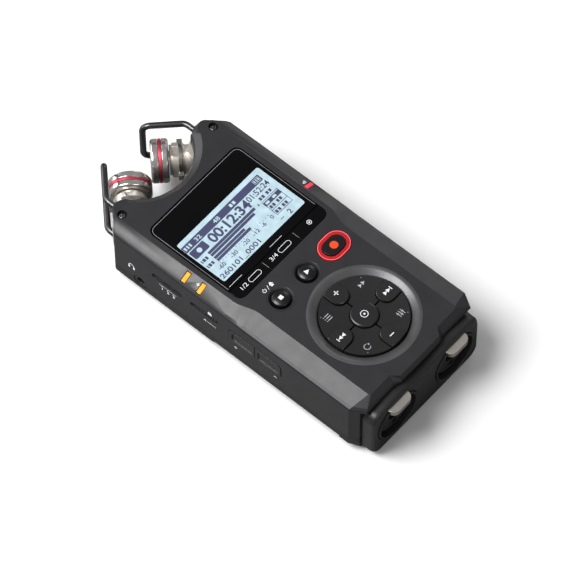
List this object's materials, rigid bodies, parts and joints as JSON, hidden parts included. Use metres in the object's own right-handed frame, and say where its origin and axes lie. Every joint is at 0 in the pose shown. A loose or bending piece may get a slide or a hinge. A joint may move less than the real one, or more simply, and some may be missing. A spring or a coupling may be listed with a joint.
{
  "type": "handheld digital recorder",
  "caption": "Pocket audio recorder with swivelling stereo microphones behind wire guards, display, round key pad and combination input sockets at the lower end.",
  "frame": {"origin": "under the middle of the recorder's length and width, on the plane it lies on", "axes": "+Z out of the display, +Y towards the microphones, +X to the right as the display is read"},
  "size_m": [0.0704, 0.1628, 0.0345],
  "materials": {
    "shell": "dark grey painted casing, fine matt texture",
    "side": "black moulded plastic, fine matt grain",
    "key": "black key plastic, satin",
    "window": "gloss black clear-fronted window",
    "screen": "pale blue display",
    "record_ring": "translucent red light ring",
    "lens_orange": "orange lens",
    "lens_red": "red lens",
    "nickel": "warm satin nickel",
    "chrome": "polished, dark nickel plated",
    "ring_red": "red anodised",
    "wire": "dark grey satin coated steel wire",
    "screw": "black plated steel",
    "mat": "moulded key mat",
    "board": "green glass-epoxy board",
    "brass": "turned brass",
    "cell": "plain sleeved cell",
    "spring_steel": "plated sheet steel",
    "grille": "fine grey mesh"
  },
  "bodies": {
    "casing": {"front_shell": "shell", "rear_shell": "side", "display_window": "window", "screen_module": "screen", "record_light_ring": "record_ring", "key_mat": "mat", "main_board": "board", "power_lens": "lens_orange", "source_lens": "lens_orange", "peak_lens": "lens_red", "phones_socket": "key", "remote_socket": "key", "usb_socket": "spring_steel", "jack_panel": "side", "left_input_socket": "key", "right_input_socket": "key", "left_mic_guard": "wire", "right_mic_guard": "wire", "left_horn_screw": "screw", "right_horn_screw": "screw", "cell_1": "cell", "cell_2": "cell", "cell_3": "cell", "negative_contacts": "spring_steel", "positive_contacts": "spring_steel", "speaker": "screw", "tripod_bush": "brass"},
    "left_microphone": {"left_mic_arm": "nickel", "left_mic_head": "chrome", "left_mic_ring": "ring_red", "left_mic_grille": "grille"},
    "right_microphone": {"right_mic_arm": "nickel", "right_mic_head": "chrome", "right_mic_ring": "ring_red", "right_mic_grille": "grille"},
    "input_1_2_key_body": {"input_1_2_key": "window"},
    "input_3_4_key_body": {"input_3_4_key": "window"},
    "record_mode_key_body": {"record_mode_key": "window"},
    "stop_button_body": {"stop_button": "key"},
    "play_button_body": {"play_button": "key"},
    "record_button_body": {"record_button": "key"},
    "enter_key_body": {"enter_key": "key"},
    "forward_key_body": {"forward_key": "key"},
    "plus_key_body": {"plus_key": "key"},
    "back_key_body": {"back_key": "key"},
    "minus_key_body": {"minus_key": "key"},
    "quick_key_body": {"quick_key": "key"},
    "menu_key_body": {"menu_key": "key"},
    "playback_key_body": {"playback_key": "key"},
    "mixer_key_body": {"mixer_key": "key"},
    "input_switch_body": {"input_switch": "key"},
    "hold_switch_body": {"hold_switch": "key"},
    "level_down_key_body": {"level_down_key": "key"},
    "level_up_key_body": {"level_up_key": "key"},
    "volume_up_key_body": {"volume_up_key": "key"},
    "volume_down_key_body": {"volume_down_key": "key"},
    "card_door_body": {"card_door": "side"},
    "left_release_latch_body": {"left_release_latch": "nickel"},
    "right_release_latch_body": {"right_release_latch": "nickel"},
    "battery_cover_body": {"battery_cover": "side"}
  },
  "joints": [
    {"name": "left_mic_swivel", "type": "hinge", "parent": "casing", "child": "left_microphone", "pos_m": [-0.02275, 0.0549, 0.0166], "axis": [0, 0, 1], "range_deg": [0, 90]},
    {"name": "right_mic_swivel", "type": "hinge", "parent": "casing", "child": "right_microphone", "pos_m": [0.02275, 0.0549, 0.0166], "axis": [0, 0, -1], "range_deg": [0, 90]},
    {"name": "input_1_2_key_press", "type": "slide", "parent": "casing", "child": "input_1_2_key_body", "axis": [0, 0, -1], "range_m": [0, 0.0004], "stiffness_N_per_m": 250},
    {"name": "input_3_4_key_press", "type": "slide", "parent": "casing", "child": "input_3_4_key_body", "axis": [0, 0, -1], "range_m": [0, 0.0004], "stiffness_N_per_m": 250},
    {"name": "record_mode_key_press", "type": "slide", "parent": "casing", "child": "record_mode_key_body", "axis": [0, 0, -1], "range_m": [0, 0.0004], "stiffness_N_per_m": 250},
    {"name": "stop_button_press", "type": "slide", "parent": "casing", "child": "stop_button_body", "axis": [0, 0, -1], "range_m": [0, 0.0006], "stiffness_N_per_m": 250},
    {"name": "play_button_press", "type": "slide", "parent": "casing", "child": "play_button_body", "axis": [0, 0, -1], "range_m": [0, 0.0006], "stiffness_N_per_m": 250},
    {"name": "record_button_press", "type": "slide", "parent": "casing", "child": "record_button_body", "axis": [0, 0, -1], "range_m": [0, 0.0006], "stiffness_N_per_m": 250},
    {"name": "enter_key_press", "type": "slide", "parent": "casing", "child": "enter_key_body", "axis": [0, 0, -1], "range_m": [0, 0.0006], "stiffness_N_per_m": 250},
    {"name": "forward_key_press", "type": "slide", "parent": "casing", "child": "forward_key_body", "axis": [0, 0, -1], "range_m": [0, 0.0006], "stiffness_N_per_m": 250},
    {"name": "plus_key_press", "type": "slide", "parent": "casing", "child": "plus_key_body", "axis": [0, 0, -1], "range_m": [0, 0.0006], "stiffness_N_per_m": 250},
    {"name": "back_key_press", "type": "slide", "parent": "casing", "child": "back_key_body", "axis": [0, 0, -1], "range_m": [0, 0.0006], "stiffness_N_per_m": 250},
    {"name": "minus_key_press", "type": "slide", "parent": "casing", "child": "minus_key_body", "axis": [0, 0, -1], "range_m": [0, 0.0006], "stiffness_N_per_m": 250},
    {"name": "quick_key_press", "type": "slide", "parent": "casing", "child": "quick_key_body", "axis": [0, 0, -1], "range_m": [0, 0.0006], "stiffness_N_per_m": 250},
    {"name": "menu_key_press", "type": "slide", "parent": "casing", "child": "menu_key_body", "axis": [0, 0, -1], "range_m": [0, 0.0006], "stiffness_N_per_m": 250},
    {"name": "playback_key_press", "type": "slide", "parent": "casing", "child": "playback_key_body", "axis": [0, 0, -1], "range_m": [0, 0.0006], "stiffness_N_per_m": 250},
    {"name": "mixer_key_press", "type": "slide", "parent": "casing", "child": "mixer_key_body", "axis": [0, 0, -1], "range_m": [0, 0.0006], "stiffness_N_per_m": 250},
    {"name": "level_down_key_press", "type": "slide", "parent": "casing", "child": "level_down_key_body", "axis": [1, 0, 0], "range_m": [0, 0.0005], "stiffness_N_per_m": 250},
    {"name": "level_up_key_press", "type": "slide", "parent": "casing", "child": "level_up_key_body", "axis": [1, 0, 0], "range_m": [0, 0.0005], "stiffness_N_per_m": 250},
    {"name": "volume_up_key_press", "type": "slide", "parent": "casing", "child": "volume_up_key_body", "axis": [-1, 0, 0], "range_m": [0, 0.0005], "stiffness_N_per_m": 250},
    {"name": "volume_down_key_press", "type": "slide", "parent": "casing", "child": "volume_down_key_body", "axis": [-1, 0, 0], "range_m": [0, 0.0005], "stiffness_N_per_m": 250},
    {"name": "input_switch_slide", "type": "slide", "parent": "casing", "child": "input_switch_body", "axis": [0, 1, 0], "range_m": [-0.003, 0.003]},
    {"name": "hold_switch_slide", "type": "slide", "parent": "casing", "child": "hold_switch_body", "axis": [0, 1, 0], "range_m": [0, 0.005]},
    {"name": "left_latch_press", "type": "slide", "parent": "casing", "child": "left_release_latch_body", "axis": [0, 1, 0], "range_m": [0, 0.0015], "stiffness_N_per_m": 600},
    {"name": "right_latch_press", "type": "slide", "parent": "casing", "child": "right_release_latch_body", "axis": [0, 1, 0], "range_m": [0, 0.0015], "stiffness_N_per_m": 600},
    {"name": "card_door_hinge", "type": "hinge", "parent": "casing", "child": "card_door_body", "pos_m": [0.035, -0.008, 0.0169], "axis": [0, 1, 0], "range_deg": [0, 100]},
    {"name": "battery_cover_hinge", "type": "hinge", "parent": "casing", "child": "battery_cover_body", "pos_m": [0, -0.0631, 0], "axis": [-1, 0, 0], "range_deg": [0, 90]}
  ]
}
